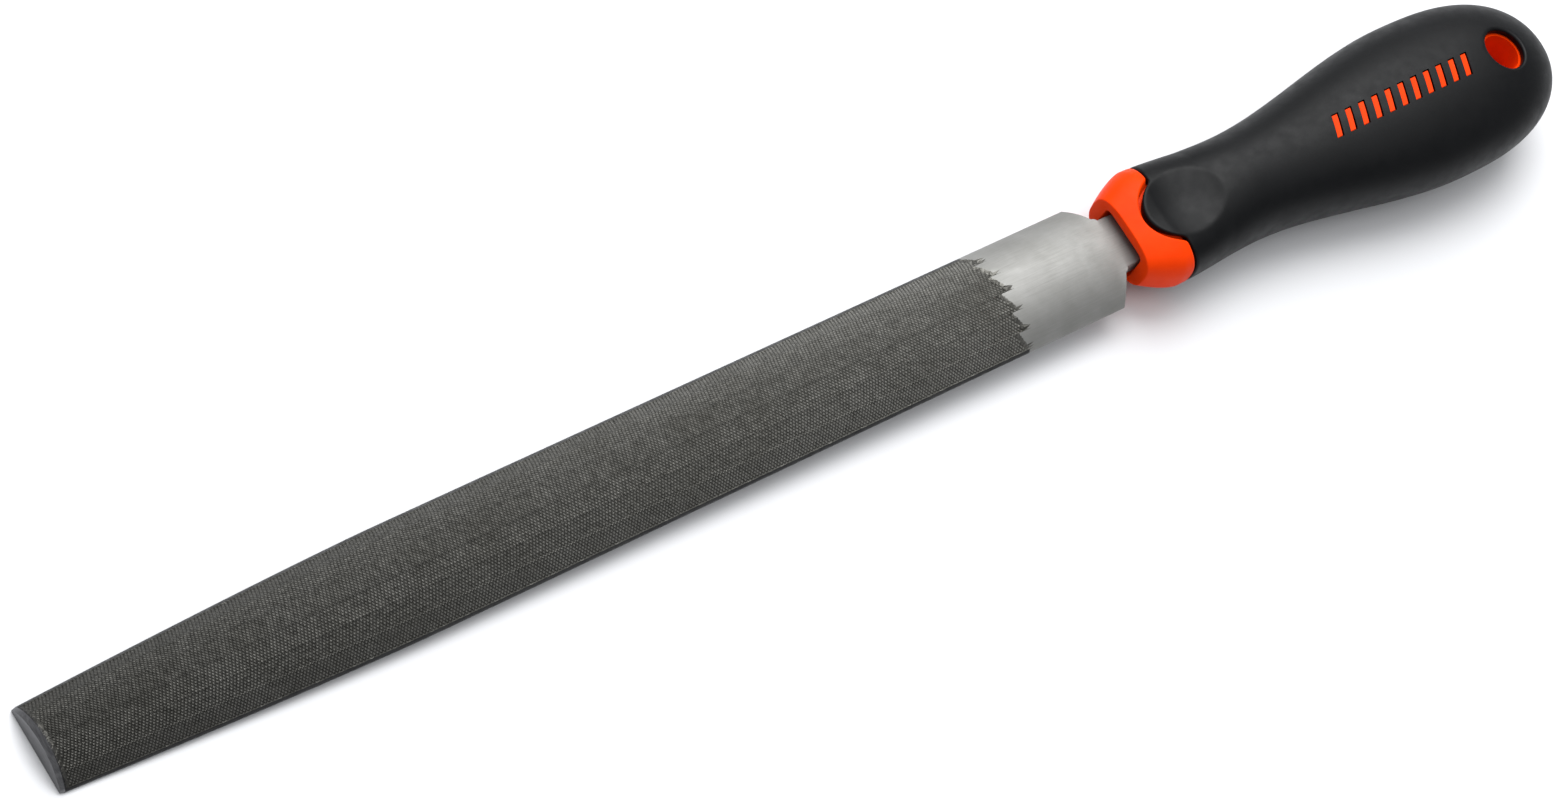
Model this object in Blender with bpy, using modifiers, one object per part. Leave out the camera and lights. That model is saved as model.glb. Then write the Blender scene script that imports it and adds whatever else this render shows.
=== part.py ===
"""Half-round file with a 250 mm blade and a two-shot moulded handle.

X runs along the file from the tip to the butt, and Z is up, out of the half-round face.
The flat face lies on Z = 0 and the origin is its middle. Lengths are in metres.
"""

from math import cos, pi, sin, sqrt

import bmesh
import bpy
import numpy as np

# Blade
BLADE_LENGTH = 0.250
BLADE_WIDTH = 0.024
BLADE_THICKNESS = 0.007
TIP_WIDTH = 0.0182
TIP_THICKNESS = 0.0054
TIP_CHAMFER = 0.0009
TIP_CORNER = 0.0002
EDGE_THICKNESS = 0.0006
TAPER_LENGTH = 0.080
TAPER_POWER = 1.4
TAPER_RINGS = 9
ARC_SEGMENTS = 20

# Shoulders, behind the heel corners
SHOULDER_DEPTH = 0.0022
SHOULDER_HALF_WIDTH = 0.0066
FILLET_RADIUS = 0.0008
FILLET_SEGMENTS = 5
HEEL_RUN_OUT = 0.0100
HEEL_FALL_START = 0.0080
HEEL_FALL = 0.0018

# Tang
AXIS_HEIGHT = 0.0035
TANG_LENGTH = 0.068
TANG_ROOT = (0.0100, 0.0046)
TANG_END = (0.0044, 0.0034)

# Handle: half width and half height at each station behind the collar's front. Its middle is
# lifted above the tang's axis at the front, and comes down to it where the section is oval.
COLLAR_GAP = 0.0050
HANDLE_LENGTH = 0.119
FRONT = (0.0095, 0.0060)
COLLAR = (0.0130, 0.0082)
NECK = (0.0117, 0.0104)
BULB = (0.01835, 0.0125)
COLLAR_AT = 0.0080
NECK_AT = 0.0315
BULB_AT = 0.0845
FRONT_POWER = 1.35
BUTT_POWER = 2.8
FRONT_SQUARENESS = 2.9
FRONT_LIFT = 0.0007
GRIP_SQUARENESS = 2.1
SQUARE_LENGTH = 0.022
RING_SEGMENTS = 32
COLLAR_RINGS = 7
NECK_RINGS = 6
BULB_RINGS = 10
BUTT_RINGS = 13
SMALLEST_RING = 0.0006

# Two-shot moulding
GRIP_WALL = 0.0020
FIT_GAP = 0.0003
GROOVE_WIDTH = 0.0008
SIDE_SEAM_AT = 0.0116
CORNER_AT = 0.0098

# Thumb pad, centred behind the collar's front
PAD_AT = 0.0142
SCALLOP = (0.0098, 0.0078)
PAD = (0.0092, 0.0068)
PAD_DEPTH = 0.0011
PAD_BALL_HEIGHT = 0.0033
PAD_BALL_SEGMENTS = 16
SCALLOP_SEGMENTS = 20

# Tang slot in the collar's front, and the socket behind it
SLOT_SIZE = (0.0128, 0.0086)
SLOT_DEPTH = 0.0100
SLOT_CORNER = 0.0015
SLOT_CORNER_SEGMENTS = 3

# Hanging hole
HOLE_AT = 0.1032
HOLE_RADIUS = 0.0043
RIM_RADIUS = 0.0048

# Raised marks on the top of the bulb
MARK_COUNT = 11
MARK_FIRST = 0.0550
MARK_PITCH = 0.0036
MARK_SIZE = (0.0015, 0.0048)
MARK_SLANT = 0.0018
MARK_SINK = 0.0003
MARK_GAP = 0.00015

TIP_X = -BLADE_LENGTH / 2
HEEL_X = BLADE_LENGTH / 2
FRONT_X = HEEL_X + COLLAR_GAP
OVERSHOOT = 0.002
TALL = 0.030
SAME_POINT = 1e-6

STEEL = ((0.33, 0.33, 0.32, 1.0), 0.38, 1.0)
ORANGE = ((0.90, 0.10, 0.01, 1.0), 0.35, 0.0)
BLACK = ((0.022, 0.023, 0.026, 1.0), 0.55, 0.0)


def clear_scene():
    """Removes whatever the file opened with."""
    for item in list(bpy.data.objects):
        bpy.data.objects.remove(item, do_unlink=True)


def make_collection(name):
    """A new collection in the scene."""
    collection = bpy.data.collections.new(name)
    bpy.context.scene.collection.children.link(collection)
    return collection


def make_material(name, finish):
    """A Principled material with a colour, a roughness and a metallic value."""
    colour, roughness, metallic = finish
    material = bpy.data.materials.new(name)
    material.use_nodes = True
    shader = material.node_tree.nodes["Principled BSDF"]
    shader.inputs["Base Color"].default_value = colour
    shader.inputs["Roughness"].default_value = roughness
    shader.inputs["Metallic"].default_value = metallic
    return material


def add_object(name, mesh, collection):
    """An object for a mesh, in a collection."""
    item = bpy.data.objects.new(name, mesh)
    collection.objects.link(item)
    return item


def mesh_from(name, bm):
    """A mesh from a bmesh, with its faces turned outwards."""
    bmesh.ops.recalc_face_normals(bm, faces=bm.faces[:])
    mesh = bpy.data.meshes.new(name)
    bm.to_mesh(mesh)
    bm.free()
    return mesh


def loft(name, rings, collection):
    """A closed solid through rings of the same number of points."""
    bm = bmesh.new()
    loops = [[bm.verts.new(point) for point in ring] for ring in rings]
    for near, far in zip(loops, loops[1:]):
        for i in range(len(near)):
            bm.faces.new((near[i - 1], near[i], far[i], far[i - 1]))
    bm.faces.new(loops[0])
    bm.faces.new(loops[-1])
    return add_object(name, mesh_from(name, bm), collection)


def plate(name, outline, collection):
    """A tall prism over a plan outline, centred on the handle's axis height."""
    curve = bpy.data.curves.new(name, "CURVE")
    curve.dimensions = "2D"
    curve.fill_mode = "BOTH"
    curve.extrude = TALL / 2
    spline = curve.splines.new("POLY")
    spline.points.add(len(outline) - 1)
    for point, (x, y) in zip(spline.points, outline):
        point.co = (x, y, 0.0, 1.0)
    spline.use_cyclic_u = True
    outline_object = add_object(name + "_outline", curve, collection)
    bpy.context.view_layer.update()
    graph = bpy.context.evaluated_depsgraph_get()
    mesh = bpy.data.meshes.new_from_object(outline_object.evaluated_get(graph))
    bpy.data.objects.remove(outline_object, do_unlink=True)
    bm = bmesh.new()
    bm.from_mesh(mesh)
    bmesh.ops.remove_doubles(bm, verts=bm.verts[:], dist=SAME_POINT)
    item = add_object(name, mesh_from(name, bm), collection)
    item.location.z = AXIS_HEIGHT
    return item


def pillar(name, x, radius, collection):
    """A tall upright cylinder on the centre line."""
    bm = bmesh.new()
    bmesh.ops.create_cone(
        bm, cap_ends=True, segments=RING_SEGMENTS, radius1=radius, radius2=radius, depth=TALL
    )
    item = add_object(name, mesh_from(name, bm), collection)
    item.location = (x, 0.0, AXIS_HEIGHT)
    return item


def tapered_bar(name, x_start, x_end, start, end, collection):
    """A box along X whose width and height change from one end to the other."""
    bm = bmesh.new()
    bmesh.ops.create_cube(bm, size=1.0)
    for vert in bm.verts:
        x, (width, height) = (x_start, start) if vert.co.x < 0 else (x_end, end)
        vert.co = (x, vert.co.y * width, vert.co.z * height)
    item = add_object(name, mesh_from(name, bm), collection)
    item.location.z = AXIS_HEIGHT
    return item


def combine(target, other, operation):
    """Adds a Boolean modifier."""
    modifier = target.modifiers.new(other.name, "BOOLEAN")
    modifier.operation = operation
    modifier.solver = "EXACT"
    modifier.object = other


def blend(start, end, share):
    """Eases a pair of sizes into another pair."""
    eased = share * share * (3 - 2 * share)
    return tuple(a + (b - a) * eased for a, b in zip(start, end))


# Blade ---------------------------------------------------------------------------------------


def blade_section(x, width, thickness):
    """The half-round outline: a flat base, two thin edges and an arc over them."""
    half = width / 2
    rise = thickness - EDGE_THICKNESS
    radius = (half**2 + rise**2) / (2 * rise)
    sweep = np.arcsin(half / radius)
    angles = np.linspace(sweep, -sweep, ARC_SEGMENTS + 1)
    arc = [(x, radius * sin(a), thickness - radius + radius * cos(a)) for a in angles]
    return [(x, -half, 0.0), (x, half, 0.0)] + arc


def blade_rings():
    """Sections from the chamfered tip, through the taper, to a falling run-out at the tang."""
    rings = [blade_section(TIP_X, TIP_WIDTH - 2 * TIP_CORNER, TIP_THICKNESS - TIP_CHAMFER)]
    for share in np.linspace(TIP_CHAMFER / TAPER_LENGTH, 1.0, TAPER_RINGS):
        grown = 1 - (1 - share) ** TAPER_POWER
        width = TIP_WIDTH + (BLADE_WIDTH - TIP_WIDTH) * grown
        thickness = TIP_THICKNESS + (BLADE_THICKNESS - TIP_THICKNESS) * grown
        rings.append(blade_section(TIP_X + share * TAPER_LENGTH, width, thickness))
    rings.append(blade_section(HEEL_X - HEEL_FALL_START, BLADE_WIDTH, BLADE_THICKNESS))
    run_out_thickness = BLADE_THICKNESS - HEEL_FALL
    rings.append(blade_section(HEEL_X + HEEL_RUN_OUT, BLADE_WIDTH, run_out_thickness))
    return rings


def shoulder_outline(side):
    """Plan of what is ground away on one side behind the heel corner."""
    neck_x = HEEL_X + SHOULDER_DEPTH
    centre_y = SHOULDER_HALF_WIDTH
    fillet = []
    for angle in np.linspace(0.0, pi / 2, FILLET_SEGMENTS + 1):
        x = neck_x + FILLET_RADIUS * sin(angle)
        y = centre_y - FILLET_RADIUS * (1 - cos(angle))
        fillet.append((x, y))
    end_x = HEEL_X + HEEL_RUN_OUT + OVERSHOOT
    end_y = fillet[-1][1]
    points = [(HEEL_X, BLADE_WIDTH / 2)] + fillet + [(end_x, end_y)]
    points += [(end_x, BLADE_WIDTH), (HEEL_X, BLADE_WIDTH)]
    return [(x, side * y) for x, y in points]


def build_blade(parts, cutters):
    """One forging: the half-round blade, its shoulders and the tang."""
    blade = loft("file_blade", blade_rings(), parts)
    for label, side in (("far", 1), ("near", -1)):
        shoulder = plate(label + "_shoulder_cut", shoulder_outline(side), cutters)
        combine(blade, shoulder, "DIFFERENCE")
    tang = tapered_bar(
        "tang_bar", HEEL_X - OVERSHOOT, HEEL_X + TANG_LENGTH, TANG_ROOT, TANG_END, cutters
    )
    combine(blade, tang, "UNION")
    return blade


# Handle --------------------------------------------------------------------------------------


def handle_half_sizes(s):
    """Half width and half height of the handle, s behind the collar's front."""
    if s < COLLAR_AT:
        short = (1 - s / COLLAR_AT) ** FRONT_POWER
        return tuple(c - (c - f) * short for c, f in zip(COLLAR, FRONT))
    if s < NECK_AT:
        return blend(COLLAR, NECK, (s - COLLAR_AT) / (NECK_AT - COLLAR_AT))
    if s < BULB_AT:
        return blend(NECK, BULB, (s - NECK_AT) / (BULB_AT - NECK_AT))
    share = (s - BULB_AT) / (HANDLE_LENGTH - BULB_AT)
    closing = sqrt(1 - share**BUTT_POWER)
    return tuple(size * closing for size in BULB)


def handle_stations():
    """Places of the handle's rings, closer together at the collar and the butt."""
    collar = np.linspace(0.0, COLLAR_AT, COLLAR_RINGS)
    neck = np.linspace(COLLAR_AT, NECK_AT, NECK_RINGS)[1:]
    bulb = np.linspace(NECK_AT, BULB_AT, BULB_RINGS)[1:]
    turn = np.linspace(0.0, pi / 2, BUTT_RINGS)[1:-1]
    butt = BULB_AT + (HANDLE_LENGTH - BULB_AT) * np.sin(turn)
    return np.concatenate([collar, neck, bulb, butt])


def front_share(s):
    """1 at the collar's front, falling to 0 where the section has become a plain oval."""
    return max(0.0, 1 - s / SQUARE_LENGTH)


def middle_height(s):
    """Height of the section's middle."""
    return AXIS_HEIGHT + FRONT_LIFT * front_share(s)


def handle_ring(s, inset):
    """A rounded-square to oval section, with its surface moved inwards by the inset."""
    half_width, half_height = handle_half_sizes(s)
    power = 2 / (GRIP_SQUARENESS + (FRONT_SQUARENESS - GRIP_SQUARENESS) * front_share(s))
    ring = []
    for i in range(RING_SEGMENTS):
        angle = 2 * pi * i / RING_SEGMENTS
        c, d = cos(angle), sin(angle)
        y = (half_width - inset) * np.sign(c) * abs(c) ** power
        z = (half_height - inset) * np.sign(d) * abs(d) ** power
        ring.append((FRONT_X + s, y, middle_height(s) + z))
    return ring


def handle_solid(name, inset, collection):
    """The handle's whole outside, moved inwards by the inset, also at its two ends."""
    stations = [s for s in handle_stations() if s >= inset]
    rings = [handle_ring(s, inset) for s in stations]
    rings = [ring for ring in rings if top_half_height(ring) > SMALLEST_RING]
    return loft(name, rings, collection)


def top_half_height(ring):
    """Height of a ring over the axis, which is negative once the inset passes the middle."""
    return ring[RING_SEGMENTS // 4][2] - AXIS_HEIGHT


def seam_outline(gap):
    """Plan of the collar: it ends at a scallop round the pad, two corners and the sides."""
    length, half = SCALLOP[0] + gap, SCALLOP[1] + gap
    corner_angle = np.arccos((PAD_AT - CORNER_AT) / length)
    arc = []
    for angle in np.linspace(corner_angle, -corner_angle, SCALLOP_SEGMENTS + 1):
        arc.append((PAD_AT - length * cos(angle), half * sin(angle)))
    side = COLLAR[0] + OVERSHOOT
    seam = [(SIDE_SEAM_AT - gap, side)] + arc + [(SIDE_SEAM_AT - gap, -side)]
    outline = [(-OVERSHOOT, side)] + seam + [(-OVERSHOOT, -side)]
    return [(FRONT_X + s, y) for s, y in outline]


def mark_outline(index, gap):
    """Plan of one slanted bar, grown by the gap."""
    centre = FRONT_X + MARK_FIRST + index * MARK_PITCH
    half_length = MARK_SIZE[0] / 2 + gap
    half_width = MARK_SIZE[1] / 2 + gap
    lean = MARK_SLANT / 2
    return [
        (centre - half_length - lean, -half_width),
        (centre + half_length - lean, -half_width),
        (centre + half_length + lean, half_width),
        (centre - half_length + lean, half_width),
    ]


def mark_row(name, gap, collection):
    """All the slanted bars as prisms that stand up from the handle's axis."""
    row = []
    for index in range(MARK_COUNT):
        bar = plate(name + "_" + str(index), mark_outline(index, gap), collection)
        bar.location.z = AXIS_HEIGHT + TALL / 2
        row.append(bar)
    return row


def socket_cutters(cutters):
    """The slot that shows at the collar's front and the tapered socket behind it."""
    slot = tapered_bar(
        "slot_cut", FRONT_X - OVERSHOOT, FRONT_X + SLOT_DEPTH, SLOT_SIZE, SLOT_SIZE, cutters
    )
    bevel = slot.modifiers.new("corners", "BEVEL")
    bevel.width = SLOT_CORNER
    bevel.segments = SLOT_CORNER_SEGMENTS
    root = tuple(size + 2 * FIT_GAP for size in TANG_ROOT)
    end = tuple(size + 2 * FIT_GAP for size in TANG_END)
    socket = tapered_bar(
        "socket_cut", HEEL_X - OVERSHOOT, HEEL_X + TANG_LENGTH + FIT_GAP, root, end, cutters
    )
    return slot, socket


def build_core(parts, cutters):
    """The rigid orange moulding: collar, hidden body, marks, tang socket and hole wall."""
    core = handle_solid("handle_core", GRIP_WALL, parts)
    collar = handle_solid("collar_body", 0.0, cutters)
    combine(collar, plate("collar_plan", seam_outline(GROOVE_WIDTH), cutters), "INTERSECT")
    combine(core, collar, "UNION")
    ceiling = handle_solid("mark_ceiling", MARK_SINK, cutters)
    for bar in mark_row("mark_bar", 0.0, cutters):
        combine(bar, ceiling, "INTERSECT")
        combine(core, bar, "UNION")
    for cutter in socket_cutters(cutters):
        combine(core, cutter, "DIFFERENCE")
    combine(core, pillar("hole_cut", FRONT_X + HOLE_AT, HOLE_RADIUS, cutters), "DIFFERENCE")
    return core


def pad_cutter(name, side, cutters):
    """A flattened ball that dishes the grip over the scallop, on one face of the handle."""
    half_height = handle_half_sizes(PAD_AT)[1]
    bm = bmesh.new()
    bmesh.ops.create_uvsphere(
        bm, u_segments=RING_SEGMENTS, v_segments=PAD_BALL_SEGMENTS, radius=1.0
    )
    reach = sqrt(1 - (1 - PAD_DEPTH / PAD_BALL_HEIGHT) ** 2)
    bmesh.ops.scale(bm, vec=(PAD[0] / reach, PAD[1] / reach, PAD_BALL_HEIGHT), verts=bm.verts)
    item = add_object(name, mesh_from(name, bm), cutters)
    lift = half_height - PAD_DEPTH + PAD_BALL_HEIGHT
    item.location = (FRONT_X + PAD_AT, 0.0, middle_height(PAD_AT) + side * lift)
    return item


def build_grip(parts, cutters):
    """The soft black overmould: a shell round the core with a rim at the hole and windows."""
    grip = handle_solid("grip_overmould", 0.0, parts)
    combine(grip, plate("seam_cut", seam_outline(0.0), cutters), "DIFFERENCE")
    combine(grip, handle_solid("core_space", GRIP_WALL - FIT_GAP, cutters), "DIFFERENCE")
    combine(grip, pillar("rim_cut", FRONT_X + HOLE_AT, RIM_RADIUS, cutters), "DIFFERENCE")
    for window in mark_row("mark_window", MARK_GAP, cutters):
        combine(grip, window, "DIFFERENCE")
    for label, side in (("top", 1), ("bottom", -1)):
        combine(grip, pad_cutter(label + "_pad_cut", side, cutters), "DIFFERENCE")
    return grip


def finish_object(item, finish):
    """Gives a part its material and smooth shading with sharp edges kept."""
    item.data.materials.append(make_material(item.name, finish))
    item.data.shade_smooth()
    item.data.set_sharp_from_angle(angle=pi / 6)


def main():
    """Builds the file."""
    clear_scene()
    parts = make_collection("half_round_file")
    cutters = make_collection("cutters")
    finish_object(build_blade(parts, cutters), STEEL)
    finish_object(build_core(parts, cutters), ORANGE)
    finish_object(build_grip(parts, cutters), BLACK)
    for cutter in cutters.objects:
        cutter.hide_render = True
        cutter.display_type = "WIRE"


main()
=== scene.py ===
"""Looks of the half-round file with a two-shot handle.

The CAD model gives the frame. Each CAD node is replaced by a finer mesh of the same shape: a blade
with cut teeth, an orange core and a black grip. Shapes are worked out in millimetres and stored in
metres.
"""

from math import atan2, cos, pi, radians, sin, sqrt

import bmesh
import bpy
import numpy as np
from mathutils import Matrix, Vector


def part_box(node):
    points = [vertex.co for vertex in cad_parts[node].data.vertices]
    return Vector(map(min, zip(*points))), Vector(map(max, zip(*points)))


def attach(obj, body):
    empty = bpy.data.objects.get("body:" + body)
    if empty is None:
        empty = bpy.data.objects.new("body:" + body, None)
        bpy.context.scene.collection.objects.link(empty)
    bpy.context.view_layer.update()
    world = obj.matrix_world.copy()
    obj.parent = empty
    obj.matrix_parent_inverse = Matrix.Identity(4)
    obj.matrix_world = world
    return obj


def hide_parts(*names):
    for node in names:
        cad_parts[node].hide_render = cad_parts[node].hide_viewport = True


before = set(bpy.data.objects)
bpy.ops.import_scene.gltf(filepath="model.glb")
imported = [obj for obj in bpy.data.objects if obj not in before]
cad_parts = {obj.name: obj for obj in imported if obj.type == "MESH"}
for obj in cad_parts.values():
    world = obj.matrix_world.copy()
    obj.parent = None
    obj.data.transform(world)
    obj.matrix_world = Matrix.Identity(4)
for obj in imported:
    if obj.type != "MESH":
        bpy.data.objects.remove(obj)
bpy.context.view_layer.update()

MM = 0.001
BLADE_LOW, BLADE_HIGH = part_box("file_blade")
CORE_LOW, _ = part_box("handle_core")
GRIP_LOW, GRIP_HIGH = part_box("grip_overmould")

# Blade ---------------------------------------------------------------------------------------
TIP_X = BLADE_LOW.x / MM
TANG_END_X = BLADE_HIGH.x / MM
HALF_WIDTH = BLADE_HIGH.y / MM
THICKNESS = BLADE_HIGH.z / MM
HEEL_X = -TIP_X
TIP_HALF_WIDTH = 9.1
TIP_THICKNESS = 5.4
TIP_CHAMFER = 0.9
TIP_CORNER = 0.2
TIP_POLE_Z = 2.4
EDGE_HEIGHT = 0.6
EDGE_BEVEL = 0.12
TAPER_LENGTH = 80.0
TAPER_POWER = 1.4
FALL_START = 8.0
FALL_LENGTH = 18.0
FALL = 1.8
BLADE_SHARP_ANGLE = 28

# Teeth. A rail is one line of points along the blade.
COURSES = 6
COURSE_ROWS = 8
COURSE_GAP = 0.12
FAR_BORDER = 1.4
NEAR_BORDER = 0.8
FLAT_BORDER = 0.7
BORDER_STEP = 0.08
# Tone of plain points and run-out teeth: painted shade that darkens the facets where the cut ends.
PAINTED_SHADE_TONE = 0.9
RUN_OUT = 0.8
RUN_OUT_STEP = 0.25
TOOTH_PITCH = 0.74
TOOTH_SHEAR = 0.14
TOOTH_DEPTH = 0.25
TOOTH_RAKE = 0.20
TOOTH_JITTER = 0.16
COURSE_DIP = 0.10
CUT_END_X = 98.7
SAW_DEPTH = 2.2
FLAT_ROWS = 39
FLAT_SLANT = 0.36
TIP_MARGIN = 0.35
REACH_SPREAD = 0.3
COARSE_STEP = 4.0
COARSE_MARGINS = (6.0, 1.0)
RUN_IN_CLEARANCE = 0.1
RUN_OUT_CLEARANCE = 0.3
END_CLEARANCE = 0.25
TOOTH_TIP_SHARE = 0.12
GROOVE_BONUS = 1.0
TEETH, EDGE, GROUND, TIP = range(4)

# Shoulders and tang
SHOULDER_DEPTH = 2.2
SHOULDER_HALF_WIDTH = 6.6
FILLET_RADIUS = 0.8
TANG_ROOT = (5.0, 2.3)
NECK_HALF_WIDTH = 5.8
NECK_END = 10.0
NECK_TAPER = 4.0
TANG_END = (2.2, 1.7)
NECK_BLEND = 6.0
NECK_CROWN = 0.25

# Handle --------------------------------------------------------------------------------------
AXIS_Z = 3.5
FRONT_X = CORE_LOW.x / MM
HANDLE_LENGTH = 119.0
FRONT = (9.5, 6.0)
COLLAR = (13.0, 8.2)
NECK = (11.7, 10.4)
BULB = (18.35, 12.5)
COLLAR_AT = 8.0
NECK_AT = 31.5
BULB_AT = 84.5
FRONT_POWER = 1.35
BUTT_POWER = 2.8
FRONT_SQUARENESS = 2.9
FRONT_LIFT = 0.7
GRIP_SQUARENESS = 2.1
SQUARE_LENGTH = 22.0
AROUND = 160
SHARP_ANGLE = 35

GRIP_WALL = 2.0
FIT_GAP = 0.3
GROOVE_WIDTH = 0.8
SIDE_SEAM_AT = 11.6
SIDE_SEAM_Y = 15.0
CORNER_AT = 9.8
SCALLOP_AT = 14.2
SCALLOP = (9.8, 7.8)
PAD = (9.3, 7.2)
PAD_DEPTH = 1.45
SEAM_ROUNDING = 0.45
STRAIGHT_FROM = 27.0
SEAM_ROWS = 44
GRIP_BUTT_ROWS = 44
GRIP_STEP = 0.9
GRIP_FIRST_STEP = 0.8
INNER_ROWS = 8
INNER_BUTT_ROWS = 20
INNER_STEP = 4
BUTT_INSET = 0.02
DOME_INSET = 1.2
GRIP_DOME_POLE = 1.0

SLOT = (6.4, 4.3)
SLOT_SQUARENESS = 8.0
SLOT_DEPTH = 10.0
LIP_ROUNDING = 0.18
SOCKET_GAP = 0.3
COLLAR_ROWS = 30
COLLAR_BUNCHING = 1.3
CORE_NECK_ROWS = 10
CORE_BUTT_ROWS = 24
CORE_STEP = 2.0
CORE_DOME_POLE = 1.1

HOLE_AT = 103.2
HOLE_RADIUS = 4.3
RIM_RADIUS = 4.8
RIM_ROUNDING = 0.9
HOLE_AROUND = 96
CUTTER_FLARE = 0.6
CUTTER_PROUD = 0.25
CUTTER_POLE_Z = 16.0

MARK_COUNT = 11
MARK_FIRST = 55.0
MARK_PITCH = 3.6
MARK_SIZE = (1.5, 4.8)
MARK_SLANT = 1.8
MARK_SINK = 0.3
MARK_GAP = 0.15
MARK_BEVEL = 0.12
MARK_FLOOR = 2.6
MARK_ROOT = 2.4
MARK_POINTS = (13, 5)

# Studio, in metres ---------------------------------------------------------------------------
FLOOR_HALF = 4.0
FLOOR_GAP = 0.0001
FLOOR_COLOUR = (0.64, 0.645, 0.66, 1.0)
WORLD_COLOUR = (0.95, 0.97, 1.0, 1.0)
WORLD_STRENGTH = 0.30
LIGHT_AIM = (0.06, 0.0, 0.0)
LIGHTS = (
    # name, place, size, watts
    ("top_light", (0.52, 0.72, 1.20), 1.35, 31.0),
    ("fill_light", (0.05, 0.00, 1.60), 2.4, 28.0),
)
CAMERA_LENS = 118.36
CAMERA_PLACE = (-0.4488, -0.2352, 0.8454)
CAMERA_BACK = (-0.4906, -0.2345, 0.8393)
CAMERA_RIGHT = (0.7902, -0.5257, 0.3150)

rng = np.random.default_rng(11)


# Mesh helpers --------------------------------------------------------------------------------
def add_piece(name, points, faces, materials, face_material=None, smooth=None):
    """An object from points in millimetres, with its faces turned outwards."""
    mesh = bpy.data.meshes.new(name)
    mesh.from_pydata([tuple(p) for p in np.asarray(points) * MM], [], faces)
    for material in materials:
        mesh.materials.append(material)
    if face_material is not None:
        mesh.polygons.foreach_set("material_index", np.asarray(face_material, np.int32))
    if smooth is None:
        smooth = np.ones(len(faces), bool)
    mesh.polygons.foreach_set("use_smooth", np.asarray(smooth, bool))
    turn_outwards(mesh)
    piece = bpy.data.objects.new(name, mesh)
    bpy.context.scene.collection.objects.link(piece)
    return piece


def turn_outwards(mesh):
    """Makes every face's normal point out of its closed shell."""
    bm = bmesh.new()
    bm.from_mesh(mesh)
    bmesh.ops.recalc_face_normals(bm, faces=bm.faces[:])
    bm.to_mesh(mesh)
    bm.free()


def tube(rings, start_pole, end_pole):
    """Points and faces of a closed skin over rings of equal count, with a point at each end."""
    count = len(rings[0])
    points = [tuple(start_pole)] + [tuple(p) for ring in rings for p in ring] + [tuple(end_pole)]
    faces = []
    last = len(points) - 1
    for i in range(count):
        j = (i + 1) % count
        faces.append((0, 1 + j, 1 + i))
        for r in range(len(rings) - 1):
            a = 1 + r * count
            b = a + count
            faces.append((a + i, a + j, b + j, b + i))
        a = 1 + (len(rings) - 1) * count
        faces.append((last, a + i, a + j))
    return points, faces


def cut(target, cutter, operation="DIFFERENCE"):
    """Applies an exact Boolean at once and removes the cutter."""
    modifier = target.modifiers.new("cut", "BOOLEAN")
    modifier.operation = operation
    modifier.solver = "EXACT"
    modifier.object = cutter
    bpy.context.view_layer.update()
    graph = bpy.context.evaluated_depsgraph_get()
    mesh = bpy.data.meshes.new_from_object(target.evaluated_get(graph))
    target.modifiers.clear()
    target.data = mesh
    bpy.data.objects.remove(cutter, do_unlink=True)


def place(piece, node):
    """Puts a finished piece on the file in place of a CAD node."""
    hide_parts(node)
    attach(piece, "root")


def smoothstep(share):
    """Eases a share from 0 to 1."""
    t = np.clip(share, 0.0, 1.0)
    return t * t * (3 - 2 * t)


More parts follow.
